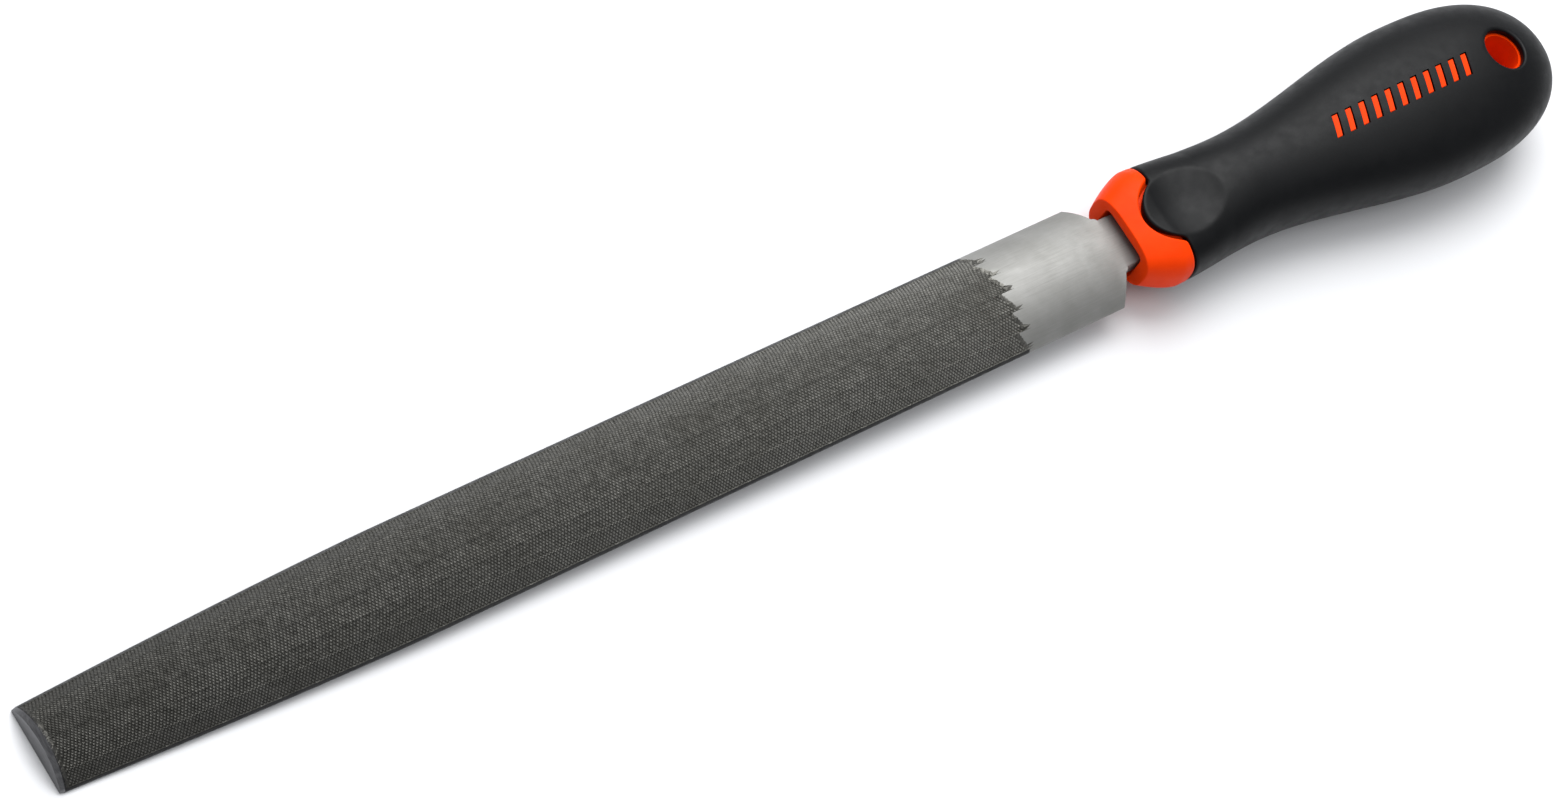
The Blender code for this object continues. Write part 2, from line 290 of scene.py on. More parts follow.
# Materials -----------------------------------------------------------------------------------
class Nodes:
    """A material's node tree with short calls to add to it."""

    def __init__(self, name):
        self.material = bpy.data.materials.new(name)
        self.material.use_nodes = True
        self.tree = self.material.node_tree
        self.shader = self.tree.nodes["Principled BSDF"]
        self.place = self.add("ShaderNodeTexCoord").outputs["Object"]

    def add(self, kind, **settings):
        node = self.tree.nodes.new(kind)
        for key, value in settings.items():
            setattr(node, key, value)
        return node

    def link(self, output, socket):
        self.tree.links.new(output, socket)

    def stretched(self, scale):
        """The object's coordinates, scaled along each axis."""
        node = self.add("ShaderNodeMapping")
        node.inputs["Scale"].default_value = scale
        self.link(self.place, node.inputs["Vector"])
        return node.outputs["Vector"]

    def noise(self, scale, detail=3.0, roughness=0.55, vector=None):
        """Fractal noise with about one blob every 1/scale metres."""
        node = self.add("ShaderNodeTexNoise")
        node.inputs["Scale"].default_value = scale
        node.inputs["Detail"].default_value = detail
        node.inputs["Roughness"].default_value = roughness
        self.link(vector or self.place, node.inputs["Vector"])
        return node.outputs["Fac"]

    def ramp(self, value, stops):
        """Colours or greys over a value."""
        node = self.add("ShaderNodeValToRGB")
        elements = node.color_ramp.elements
        while len(elements) < len(stops):
            elements.new(0.5)
        for element, (position, colour) in zip(elements, stops):
            element.position = position
            element.color = colour if len(colour) == 4 else (*colour, 1.0)
        self.link(value, node.inputs["Fac"])
        return node.outputs["Color"]

    def span(self, value, low, high, start=0.3, end=0.7):
        """A value turned to the span from low to high."""
        node = self.add("ShaderNodeMapRange")
        node.inputs["From Min"].default_value = start
        node.inputs["From Max"].default_value = end
        node.inputs["To Min"].default_value = low
        node.inputs["To Max"].default_value = high
        self.link(value, node.inputs["Value"])
        return node.outputs["Result"]

    def mix(self, share, first, second, blend="MIX"):
        """Two colours mixed by a share."""
        node = self.add("ShaderNodeMix", data_type="RGBA", blend_type=blend)
        for value, index in ((share, 0), (first, 6), (second, 7)):
            socket = node.inputs[index]
            if isinstance(value, (int, float, tuple)):
                socket.default_value = value
            else:
                self.link(value, socket)
        return node.outputs[2]

    def bump(self, height, depth, strength=1.0, before=None):
        """A bump of so many millimetres."""
        node = self.add("ShaderNodeBump")
        node.inputs["Strength"].default_value = strength
        node.inputs["Distance"].default_value = depth * MM
        self.link(height, node.inputs["Height"])
        if before is not None:
            self.link(before, node.inputs["Normal"])
        return node.outputs["Normal"]

    def set(self, **inputs):
        """Sets or links the shader's inputs, named with underscores for spaces."""
        for key, value in inputs.items():
            socket = self.shader.inputs[key.replace("_", " ")]
            if isinstance(value, (int, float, tuple)):
                socket.default_value = value
            else:
                self.link(value, socket)
        return self.material


def tooth_material():
    """Hardened steel of the cut teeth, brighter on their tips, with painted light along the blade
    (darker at the tip, brighter at the heel) and painted shade where the cut ends.
    """
    n = Nodes("cut_teeth")
    # The tone is dark in the grooves and light on the tooth tips; plain points and run-out teeth
    # are dark too, painted shade where the cut ends.
    depth = n.add("ShaderNodeAttribute", attribute_name="tooth_tone_and_painted_shade").outputs["Fac"]
    wear_and_painted_shade = n.ramp(depth, [
        (0.0, (0.42, 0.415, 0.385)),
        (0.4, (0.24, 0.237, 0.220)),
        (1.0, (0.07, 0.069, 0.064)),
    ])
    patches = n.noise(90.0, 4.0)
    stained = n.mix(n.span(patches, 0.0, 0.35), wear_and_painted_shade, (0.10, 0.097, 0.083, 1.0))
    # Painted light: the colour is multiplied by a ramp along the blade, dark at the tip and bright
    # at the heel, for how the lamp falls on it.
    along = n.add("ShaderNodeSeparateXYZ")
    n.link(n.place, along.inputs["Vector"])
    shade = n.span(along.outputs["X"], 0.50, 1.15, TIP_X * MM, HEEL_X * MM)
    tone = n.add("ShaderNodeCombineColor")
    for channel in ("Red", "Green", "Blue"):
        n.link(shade, tone.inputs[channel])
    colour = n.mix(1.0, stained, tone.outputs["Color"], "MULTIPLY")
    grain = n.noise(6000.0, 2.0)
    rough = n.span(n.noise(700.0, 4.0), 0.36, 0.56)
    return n.set(Base_Color=colour, Metallic=0.9, Roughness=rough, Normal=n.bump(grain, 0.02, 0.5))


def edge_material():
    """Uncut edges of the toothed length, nearly black."""
    n = Nodes("black_edge")
    scratches = n.noise(1.0, 3.0, vector=n.stretched((150.0, 3000.0, 3000.0)))
    colour = n.ramp(scratches, [(0.35, (0.004, 0.004, 0.0045)), (0.75, (0.018, 0.018, 0.018))])
    rough = n.span(n.noise(900.0), 0.35, 0.55)
    bump = n.bump(scratches, 0.01, 0.4)
    return n.set(Base_Color=colour, Roughness=rough, Specular_IOR_Level=0.2, Normal=bump)


def ground_material():
    """Bare ground steel of the heel and the tang."""
    n = Nodes("ground_steel")
    lines = n.noise(1.0, 4.0, 0.7, n.stretched((120.0, 4200.0, 4200.0)))
    clouds = n.noise(130.0, 4.0)
    colour = n.mix(n.span(clouds, 0.0, 1.0), (0.26, 0.26, 0.248, 1.0), (0.32, 0.32, 0.31, 1.0))
    rough = n.span(lines, 0.62, 0.74)
    blast = n.noise(4500.0, 3.0)
    bump = n.bump(blast, 0.015, 0.5, n.bump(lines, 0.012, 0.5))
    return n.set(Base_Color=colour, Metallic=1.0, Roughness=rough, Normal=bump)


def tip_material():
    """Sheared and ground end of the tip."""
    n = Nodes("tip_steel")
    lines = n.noise(1.0, 4.0, 0.7, n.stretched((3000.0, 250.0, 3000.0)))
    colour = n.ramp(lines, [(0.3, (0.11, 0.11, 0.115)), (0.7, (0.21, 0.21, 0.215))])
    rough = n.span(lines, 0.34, 0.5)
    return n.set(Base_Color=colour, Metallic=1.0, Roughness=rough, Normal=n.bump(lines, 0.02, 0.6))


def orange_material():
    """Moulded orange polypropylene, satin."""
    n = Nodes("orange_plastic")
    clouds = n.noise(160.0, 3.0)
    dark, pale = (0.72, 0.037, 0.0010, 1.0), (0.78, 0.045, 0.0016, 1.0)
    colour = n.mix(n.span(clouds, 0.0, 1.0), dark, pale)
    fine = n.noise(3500.0, 3.0)
    rough = n.span(n.noise(600.0), 0.36, 0.46)
    return n.set(
        Base_Color=colour,
        Roughness=rough,
        Specular_IOR_Level=0.05,
        Normal=n.bump(fine, 0.01, 0.4),
    )


def rubber_material():
    """Moulded black elastomer with a fine spark-eroded texture."""
    n = Nodes("black_rubber")
    clouds = n.noise(70.0, 4.0)
    dark, pale = (0.0014, 0.0017, 0.0021, 1.0), (0.0026, 0.0029, 0.0035, 1.0)
    colour = n.mix(n.span(clouds, 0.0, 1.0), dark, pale)
    texture = n.noise(2600.0, 4.0, 0.6)
    rough = n.span(n.noise(400.0, 4.0), 0.40, 0.52)
    return n.set(
        Base_Color=colour,
        Roughness=rough,
        Specular_IOR_Level=0.15,
        Normal=n.bump(texture, 0.025, 0.6),
    )


# Blade ---------------------------------------------------------------------------------------
def blade_sizes(x):
    """Half width and thickness of the blade at x."""
    grown = 1 - (1 - np.clip((x - TIP_X) / TAPER_LENGTH, 0.0, 1.0)) ** TAPER_POWER
    half = TIP_HALF_WIDTH + (HALF_WIDTH - TIP_HALF_WIDTH) * grown
    thickness = TIP_THICKNESS + (THICKNESS - TIP_THICKNESS) * grown
    fall = FALL * np.clip((x - HEEL_X + FALL_START) / FALL_LENGTH, 0.0, 1.0)
    chamfer = np.clip(1 - (x - TIP_X) / TIP_CHAMFER, 0.0, 1.0)
    return half - TIP_CORNER * chamfer, thickness - fall - TIP_CHAMFER * chamfer


def arc_shape(half, thickness):
    """Radius and half angle of the round side's arc."""
    rise = thickness - EDGE_HEIGHT
    radius = (half**2 + rise**2) / (2 * rise)
    return radius, np.arcsin(half / radius)


def make_rail(kind, share, cut_to, phase=None, row=0, dip=0.0):
    """One line along the blade: its place in the section, its stations and what is cut there.

    A toothed rail has a groove crossing and a tooth tip in turn. The cross lines of the grooves
    come out when neighbouring rails are joined crossing to crossing.
    """
    ahead, behind = COARSE_MARGINS
    coarse = list(np.arange(TIP_X + ahead, HEEL_X - FALL_START - behind, COARSE_STEP))
    coarse += [TIP_X, TIP_X + TIP_CHAMFER, HEEL_X - FALL_START, HEEL_X]
    start = TIP_X + TIP_CHAMFER + TIP_MARGIN
    if phase is None:
        x = np.array(sorted(coarse + [cut_to]))
        level = np.zeros(len(x))
        return {"kind": kind, "share": share, "x": x, "level": level, "cut_to": cut_to, "dip": dip}
    after = cut_to + RUN_OUT_STEP
    plain = [v for v in coarse if v < start - RUN_IN_CLEARANCE or v > after + RUN_OUT_CLEARANCE]
    plain += [start, cut_to, after]
    step = TOOTH_PITCH / 2
    first = int(np.ceil((start + END_CLEARANCE * step - phase) / step))
    final = int(np.floor((cut_to - END_CLEARANCE * step - phase) / step))
    index = np.arange(first, final + 1)
    x = np.concatenate([plain, phase + index * step])
    level = np.concatenate([np.zeros(len(plain)), np.where((index + row) % 2 == 0, 1.0, -1.0)])
    order = np.argsort(x)
    return {
        "kind": kind, "share": share, "x": x[order], "level": level[order],
        "cut_to": cut_to, "dip": dip,
    }


def round_rails():
    """Rails over the round side from the far edge to the near one, in courses of cuts."""
    radius, sweep = arc_shape(HALF_WIDTH, THICKNESS)
    length = 2 * radius * sweep
    border = FAR_BORDER / length
    end = 1 - NEAR_BORDER / length
    gap = COURSE_GAP / length
    width = (end - border - (COURSES - 1) * gap) / COURSES
    step = BORDER_STEP / length
    far_end, near_end = CUT_END_X - SAW_DEPTH / 2, CUT_END_X + SAW_DEPTH / 2
    rails = [make_rail("arc", share, far_end) for share in (EDGE_BEVEL / length, border - step)]
    for course in range(COURSES):
        phase = rng.uniform(0.0, TOOTH_PITCH)
        reach = CUT_END_X + rng.uniform(-REACH_SPREAD, REACH_SPREAD)
        for row in range(COURSE_ROWS):
            along = row / (COURSE_ROWS - 1)
            share = border + course * (width + gap) + along * width
            cut_to = reach + SAW_DEPTH * (along - 0.5)
            dip = COURSE_DIP * 4 * along * (1 - along)
            rails.append(make_rail("arc", share, cut_to, phase + TOOTH_SHEAR * row, row, dip))
    rails += [make_rail("arc", share, near_end) for share in (end + step, 1 - EDGE_BEVEL / length)]
    return rails


def flat_rails():
    """Rails over the flat side from the near edge to the far one, cut in one course."""
    inner = 1 - FLAT_BORDER / HALF_WIDTH
    edge = inner + BORDER_STEP / HALF_WIDTH
    slant = FLAT_SLANT * HALF_WIDTH
    rails = [make_rail("flat", share, CUT_END_X - slant) for share in (-1.0, -edge)]
    for row in range(FLAT_ROWS):
        share = inner * (2 * row / (FLAT_ROWS - 1) - 1)
        cut_to = CUT_END_X + slant * share
        rails.append(make_rail("flat", share, cut_to, TOOTH_SHEAR * row, row))
    rails += [make_rail("flat", share, CUT_END_X + slant) for share in (edge, 1.0)]
    return rails


def all_rails():
    """Every rail once round the section."""
    near_end = CUT_END_X + SAW_DEPTH / 2
    far_end = CUT_END_X - SAW_DEPTH / 2
    near = [make_rail("side", (-1, level), near_end) for level in ("upper", "lower")]
    far = [make_rail("side", (1, level), far_end) for level in ("lower", "upper")]
    return round_rails() + near + flat_rails() + far


def section(kind, share, x, depth):
    """Points of the blade's surface for stations x, moved inwards by the depth."""
    half, thickness = blade_sizes(x)
    if kind == "flat":
        return np.stack([x, share * (half - EDGE_BEVEL), depth], axis=1)
    if kind == "side":
        sign, level = share
        z = EDGE_HEIGHT - EDGE_BEVEL if level == "upper" else EDGE_BEVEL
        return np.stack([x, sign * (half - depth), np.full_like(x, z)], axis=1)
    radius, sweep = arc_shape(half, thickness)
    angle = sweep * (1 - 2 * share)
    y = (radius - depth) * np.sin(angle)
    z = thickness - radius + (radius - depth) * np.cos(angle)
    return np.stack([x, y, z], axis=1)


def rail_points(rail):
    """A rail's points in the blade, and how dark each is: 1 in a groove, 0 on a tooth's tip, and a
    painted-shade tone on plain points and run-out teeth.
    """
    level = rail["level"]
    low = level > 0
    high = level < 0
    jitter = rng.uniform(-TOOTH_JITTER, TOOTH_JITTER, len(level))
    start = TIP_X + TIP_CHAMFER + TIP_MARGIN
    inside = np.minimum(rail["x"] - start, rail["cut_to"] - rail["x"])
    share = np.clip(inside / RUN_OUT, 0.0, 1.0)
    depth = np.where(low, TOOTH_DEPTH * (1 + jitter) * share, 0.0)
    depth = np.where(high, TOOTH_TIP_SHARE * TOOTH_DEPTH * (1 + 2 * jitter), depth)
    depth = depth + np.where(low | high, rail["dip"], 0.0)
    x = rail["x"] - np.where(high, TOOTH_RAKE * TOOTH_PITCH, 0.0)
    # Painted shade: plain points and teeth in the run-out get a dark tone, which darkens the facets
    # where the cut ends.
    tone = np.where((low | high) & (share == 1.0), low.astype(float), PAINTED_SHADE_TONE)
    return section(rail["kind"], rail["share"], x, depth), tone


def step_cost(near, i, far, j):
    """How badly an edge between two rails runs: groove crossings join to groove crossings."""
    cost = abs(near["x"][i] - far["x"][j])
    levels = near["level"][i] + far["level"][j]
    return cost - GROOVE_BONUS * levels


def join_rails(near, far, near_start, far_start):
    """Triangles between two rails, and the stations that each spans."""
    faces, middles = [], []
    i = j = 0
    last_i, last_j = len(near["x"]) - 1, len(far["x"]) - 1
    while i < last_i or j < last_j:
        if j == last_j:
            on_near = True
        elif i == last_i:
            on_near = False
        else:
            on_near = step_cost(near, i + 1, far, j) <= step_cost(near, i, far, j + 1)
        if on_near:
            faces.append((near_start + i, near_start + i + 1, far_start + j))
            middles.append((near["x"][i] + near["x"][i + 1] + far["x"][j]) / 3)
            i += 1
        else:
            faces.append((near_start + i, far_start + j + 1, far_start + j))
            middles.append((near["x"][i] + far["x"][j] + far["x"][j + 1]) / 3)
            j += 1
    return faces, middles


def neck_half_width(x):
    """Half width of the shoulders and the tang, behind the heel corner."""
    back = x - HEEL_X
    if back < SHOULDER_DEPTH:
        return HALF_WIDTH + (SHOULDER_HALF_WIDTH - HALF_WIDTH) * back / SHOULDER_DEPTH
    inside = (back - SHOULDER_DEPTH) / FILLET_RADIUS
    if inside < 1:
        return SHOULDER_HALF_WIDTH - FILLET_RADIUS * (1 - sqrt(1 - inside**2))
    tang = TANG_ROOT[0] + (TANG_END[0] - TANG_ROOT[0]) * back / (TANG_END_X - HEEL_X)
    narrowed = smoothstep((back - NECK_END + NECK_TAPER) / NECK_TAPER)
    return float(NECK_HALF_WIDTH + (tang - NECK_HALF_WIDTH) * narrowed)


def neck_ring(x, rails):
    """The section at a station behind the heel, with a point on each rail."""
    width = neck_half_width(x)
    half, thickness = blade_sizes(x)
    radius, _ = arc_shape(half, thickness)
    back = (x - HEEL_X) / (TANG_END_X - HEEL_X)
    height = TANG_ROOT[1] + (TANG_END[1] - TANG_ROOT[1]) * back
    turned = float(smoothstep((x - HEEL_X) / NECK_BLEND))
    _, heel_sweep = arc_shape(HALF_WIDTH, THICKNESS)

    def top(y):
        round_top = thickness - radius + sqrt(radius**2 - y**2)
        crown = AXIS_Z + height - NECK_CROWN * (y / width) ** 2
        return round_top * (1 - turned) + crown * turned

    base = turned * (AXIS_Z - height)
    ring = []
    for rail in rails:
        if rail["kind"] == "arc":
            y = width * sin(heel_sweep * (1 - 2 * rail["share"])) / sin(heel_sweep)
            y = float(np.clip(y, EDGE_BEVEL - width, width - EDGE_BEVEL))
            ring.append((x, y, top(y)))
        elif rail["kind"] == "flat":
            ring.append((x, rail["share"] * (width - EDGE_BEVEL), base))
        else:
            sign, level = rail["share"]
            z = top(width) - EDGE_BEVEL if level == "upper" else base + EDGE_BEVEL
            ring.append((x, sign * width, z))
    return ring


def neck_stations():
    """Stations from just behind the heel corner to the tang's end."""
    fillet = SHOULDER_DEPTH + FILLET_RADIUS * np.sin(np.linspace(0.0, pi / 2, 7))
    slope = np.linspace(0.0, SHOULDER_DEPTH, 7)[1:-1]
    tang = np.linspace(SHOULDER_DEPTH + FILLET_RADIUS, TANG_END_X - HEEL_X, 18)[1:]
    return HEEL_X + np.concatenate([slope, fillet, tang])


def face_slot(middle, limit, on_tooth):
    """The material of a face between two rails, by its middle and where the teeth end."""
    if on_tooth:
        return TEETH
    if middle > limit:
        return GROUND
    return TIP if middle < TIP_X + TIP_CHAMFER else EDGE


def skin_rails(rails, starts, levels):
    """Faces between all neighbouring rails, their materials, and which of them are on teeth."""
    faces, slots, on_teeth = [], [], []
    for n, rail in enumerate(rails):
        m = (n + 1) % len(rails)
        other = rails[m]
        strip, middles = join_rails(rail, other, starts[n], starts[m])
        limit = (rail["cut_to"] + other["cut_to"]) / 2
        for face, middle in zip(strip, middles):
            on_tooth = any(levels[k] != 0.0 for k in face)
            faces.append(face)
            slots.append(face_slot(middle, limit, on_tooth))
            on_teeth.append(on_tooth)
    return faces, slots, on_teeth


def build_blade():
    """The forging: teeth on both sides, the uncut edges, the bare heel and the tang."""
    rails = all_rails()
    points, tones, starts, levels = [], [], [], []
    for rail in rails:
        line, tone = rail_points(rail)
        starts.append(len(points))
        points.extend(line.tolist())
        tones.extend(tone.tolist())
        levels.extend(rail["level"].tolist())
    faces, slots, on_teeth = skin_rails(rails, starts, levels)
    loop = [start + len(rail["x"]) - 1 for start, rail in zip(starts, rails)]
    for x in neck_stations():
        ring = neck_ring(x, rails)
        new_loop = list(range(len(points), len(points) + len(ring)))
        points.extend(ring)
        for a in range(len(ring)):
            b = (a + 1) % len(ring)
            faces.append((loop[a], loop[b], new_loop[b], new_loop[a]))
            slots.append(GROUND)
        loop = new_loop
    caps = ((starts, TIP_X, TIP_POLE_Z, TIP), (loop, TANG_END_X, AXIS_Z, GROUND))
    for circle, x, z, slot in caps:
        for a in range(len(circle)):
            faces.append((circle[a], circle[(a + 1) % len(circle)], len(points)))
            slots.append(slot)
        points.append((x, 0.0, z))
    tones += [0.0] * (len(points) - len(tones))
    smooth = np.ones(len(faces), bool)
    smooth[: len(on_teeth)] = ~np.array(on_teeth)
    materials = [tooth_material(), edge_material(), ground_material(), tip_material()]
    piece = add_piece("blade", points, faces, materials, slots, smooth)
    attribute = piece.data.attributes.new("tooth_tone_and_painted_shade", "FLOAT", "POINT")
    attribute.data.foreach_set("value", np.array(tones, np.float32))
    piece.data.set_sharp_from_angle(angle=radians(BLADE_SHARP_ANGLE))
    place(piece, "file_blade")


# Handle --------------------------------------------------------------------------------------
def handle_sizes(s):
    """Half width and half height of the handle, s behind the collar's front."""
    s = np.asarray(s, float)
    result = []
    for front, collar, neck, bulb in zip(FRONT, COLLAR, NECK, BULB):
        start = collar - (collar - front) * np.clip(1 - s / COLLAR_AT, 0.0, 1.0) ** FRONT_POWER
        first = collar + (neck - collar) * smoothstep((s - COLLAR_AT) / (NECK_AT - COLLAR_AT))
        second = neck + (bulb - neck) * smoothstep((s - NECK_AT) / (BULB_AT - NECK_AT))
        share = np.clip((s - BULB_AT) / (HANDLE_LENGTH - BULB_AT), 0.0, 1.0)
        butt = bulb * np.sqrt(1 - share**BUTT_POWER)
        size = np.where(s < COLLAR_AT, start, np.where(s < NECK_AT, first, second))
        result.append(np.where(s < BULB_AT, size, butt))
    return result


def front_share(s):
    """1 at the collar's front, falling to 0 where the section has become a plain oval."""
    return np.clip(1 - np.asarray(s, float) / SQUARE_LENGTH, 0.0, 1.0)


def squareness(s):
    """The section's superellipse exponent."""
    return GRIP_SQUARENESS + (FRONT_SQUARENESS - GRIP_SQUARENESS) * front_share(s)


def middle_z(s):
    """Height of the section's middle."""
    return AXIS_Z + FRONT_LIFT * front_share(s)


def oval(half_width, half_height, power, angles):
    """Points of a superellipse at the given angles."""
    c, d = np.cos(angles), np.sin(angles)
    y = half_width * np.sign(c) * np.abs(c) ** (2 / power)
    z = half_height * np.sign(d) * np.abs(d) ** (2 / power)
    return y, z


def even_angles(half_width, half_height, power):
    """Angles that space the points of a superellipse evenly along it."""
    fine = np.linspace(0.0, 2 * pi, 4001)
    y, z = oval(half_width, half_height, power, fine)
    length = np.concatenate([[0.0], np.cumsum(np.hypot(np.diff(y), np.diff(z)))])
    return np.interp(np.arange(AROUND) / AROUND * length[-1], length, fine)


TABLE_S = np.linspace(0.0, HANDLE_LENGTH - 0.05, 240)
TABLE_ANGLES = np.array(
    [even_angles(a, b, n) for a, b, n in zip(*handle_sizes(TABLE_S), squareness(TABLE_S))]
)


def handle_ring(s, inset=0.0):
    """Points round the handle. Both s and the inset may differ from point to point."""
    s = np.broadcast_to(np.asarray(s, float), (AROUND,))
    where = np.clip(s / TABLE_S[-1] * (len(TABLE_S) - 1), 0, len(TABLE_S) - 1.001)
    below = where.astype(int)
    part = where - below
    column = np.arange(AROUND)
    angles = TABLE_ANGLES[below, column] * (1 - part) + TABLE_ANGLES[below + 1, column] * part
    half_width, half_height = handle_sizes(s)
    y, z = oval(half_width - inset, half_height - inset, squareness(s), angles)
    return np.stack([FRONT_X + s, y, middle_z(s) + z], axis=1)


def seam_at(y, gap):
    """Where the collar ends in plan: round the scallop, then along a side line."""
    length, half = SCALLOP[0] + gap, SCALLOP[1] + gap
    corner_y = half * sqrt(1 - ((SCALLOP_AT - CORNER_AT) / length) ** 2)
    y = np.abs(y)
    arc = SCALLOP_AT - length * np.sqrt(np.clip(1 - (y / half) ** 2, 0.0, 1.0))
    side = SIDE_SEAM_AT - gap
    line = CORNER_AT + (side - CORNER_AT) * (y - corner_y) / (SIDE_SEAM_Y - corner_y)
    return np.where(y < corner_y, arc, line)


def seam_curve(gap):
    """The seam's place at each point round the handle, and its stretch across the slope."""
    s = np.full(AROUND, CORNER_AT)
    for _ in range(80):
        s = 0.6 * s + 0.4 * seam_at(handle_ring(s)[:, 1], gap)
    s = blur(s, 1)
    ring = handle_ring(s)
    around = np.linalg.norm(np.roll(ring, -1, 0) - np.roll(ring, 1, 0), axis=1)
    along = np.abs(np.roll(s, -1) - np.roll(s, 1))
    across = np.sqrt(np.clip(around**2 - along**2, 1e-6, None))
    return s, blur(np.sqrt(1 + (along / across) ** 2), 2)


def blur(values, times):
    """Smooths values round a ring."""
    for _ in range(times):
        values = 0.25 * np.roll(values, 1) + 0.5 * values + 0.25 * np.roll(values, -1)
    return values


def pad_inset(s, y):
    """Depth of the thumb recess below the handle's surface."""
    reach = np.sqrt(((s - SCALLOP_AT) / PAD[0]) ** 2 + (y / PAD[1]) ** 2)
    return PAD_DEPTH * np.clip(1 - reach**2, 0.0, 1.0)


def grip_ring(s):
    """A ring of the grip's outer face, with the thumb recess on its top and bottom."""
    s = np.broadcast_to(np.asarray(s, float), (AROUND,))
    plain = handle_ring(s)
    return handle_ring(s, pad_inset(s, plain[:, 1]))


def rounded_edge(s, stretch, depth, sign, radius):
    """Rings that roll from a seam's wall over to the outer face, in the direction sign."""
    rings = []
    for turn in np.linspace(0.0, pi / 2, 6)[:-1]:
        inset = radius * (1 - sin(turn))
        moved = s + sign * radius * (1 - cos(turn)) * stretch
        pad = pad_inset(moved, handle_ring(moved)[:, 1]) if sign > 0 else 0.0
        rings.append(handle_ring(moved, inset + pad))
    return [handle_ring(s, depth)] + rings


def butt_stations(end, count):
    """Stations from the bulb's widest place to near the butt, closer together at the end."""
    reach = np.arcsin((end - BULB_AT) / (HANDLE_LENGTH - BULB_AT))
    return BULB_AT + (HANDLE_LENGTH - BULB_AT) * np.sin(np.linspace(0.0, reach, count))


def build_grip():
    """The soft overmould: a shell with a rolled seam, thumb recesses, hole rims and windows."""
    seam, stretch = seam_curve(0.0)
    wall = GRIP_WALL - FIT_GAP
    rings = rounded_edge(seam, stretch, wall, 1, SEAM_ROUNDING)
    start = seam + SEAM_ROUNDING * stretch
    for share in np.linspace(0.0, 1.0, SEAM_ROWS):
        rings.append(grip_ring(start + (STRAIGHT_FROM - start) * share))
    for s in np.arange(STRAIGHT_FROM + GRIP_FIRST_STEP, BULB_AT, GRIP_STEP):
        rings.append(grip_ring(s))
    end = GRIP_HIGH.x / MM - FRONT_X - BUTT_INSET
    for s in butt_stations(end - BUTT_INSET, GRIP_BUTT_ROWS):
        rings.append(grip_ring(s))
    inner_end = HANDLE_LENGTH - wall
    dome = butt_stations(inner_end - DOME_INSET, INNER_BUTT_ROWS)[::-1]
    body = np.arange(BULB_AT - INNER_STEP, STRAIGHT_FROM, -INNER_STEP)
    inner = [handle_ring(s, wall) for s in (*dome, *body)]
    for share in np.linspace(1.0, 0.0, INNER_ROWS)[:-1]:
        inner.append(handle_ring(seam + (STRAIGHT_FROM - seam) * share, wall))
    outer_pole = (FRONT_X + end, 0.0, AXIS_Z)
    inner_pole = (FRONT_X + inner_end - GRIP_DOME_POLE, 0.0, AXIS_Z)
    points, faces = shell(rings, outer_pole, inner, inner_pole)
    piece = add_piece("grip", points, faces, [rubber_material()])
    cut(piece, hole_cutter("rim_cutter", RIM_RADIUS, RIM_ROUNDING))
    for index in range(MARK_COUNT):
        cut(piece, mark_block(index, MARK_GAP, -1.0, MARK_FLOOR))
    piece.data.set_sharp_from_angle(angle=radians(SHARP_ANGLE))
    place(piece, "grip_overmould")


def shell(outer, outer_pole, inner, inner_pole):
    """A hollow skin: outer rings to a pole, then inner rings from a pole back to the start."""
    rings = outer + inner
    count = len(outer[0])
    points = [tuple(p) for ring in rings for p in ring] + [tuple(outer_pole), tuple(inner_pole)]
    pole_out, pole_in = len(points) - 2, len(points) - 1
    faces = []
    for i in range(count):
        j = (i + 1) % count
        for r in list(range(len(outer) - 1)) + list(range(len(outer), len(rings) - 1)):
            a = r * count
            faces.append((a + i, a + j, a + count + j, a + count + i))
        a = (len(outer) - 1) * count
        faces.append((pole_out, a + i, a + j))
        a = len(outer) * count
        faces.append((pole_in, a + j, a + i))
        a = (len(rings) - 1) * count
        faces.append((a + i, a + j, j, i))
    return points, faces


def top_height(s, y, inset=0.0):
    """Height of the handle's top face over its axis."""
    half_width, half_height = handle_sizes(s)
    power = squareness(s)
    share = np.clip(np.abs(y) / (half_width - inset), 0.0, 1.0)
    return (half_height - inset) * (1 - share**power) ** (1 / power)


def hole_cutter(name, radius, rounding):
    """A plug for the hanging hole whose ends flare out over the handle's faces."""
    angles = np.linspace(0.0, 2 * pi, HOLE_AROUND + 1)[:-1]
    turns = np.linspace(0.0, pi / 2, 9) if rounding > 0 else [0.0]
    profile = [(radius + rounding * (1 - cos(t)), rounding * (1 - sin(t))) for t in turns]
    profile.append((profile[-1][0] + CUTTER_FLARE, -CUTTER_PROUD))
    half = []
    for reach, depth in profile:
        s = HOLE_AT + reach * np.cos(angles)
        y = reach * np.sin(angles)
        half.append((s, y, top_height(s, y) - depth))
    rings = []
    for side, sequence in ((-1, half[::-1]), (1, half)):
        for s, y, z in sequence:
            rings.append(np.stack([FRONT_X + s, y, AXIS_Z + side * z], axis=1))
    low = (FRONT_X + HOLE_AT, 0.0, AXIS_Z - CUTTER_POLE_Z)
    high = (FRONT_X + HOLE_AT, 0.0, AXIS_Z + CUTTER_POLE_Z)
    points, faces = tube(rings, low, high)
    return add_piece(name, points, faces, [])


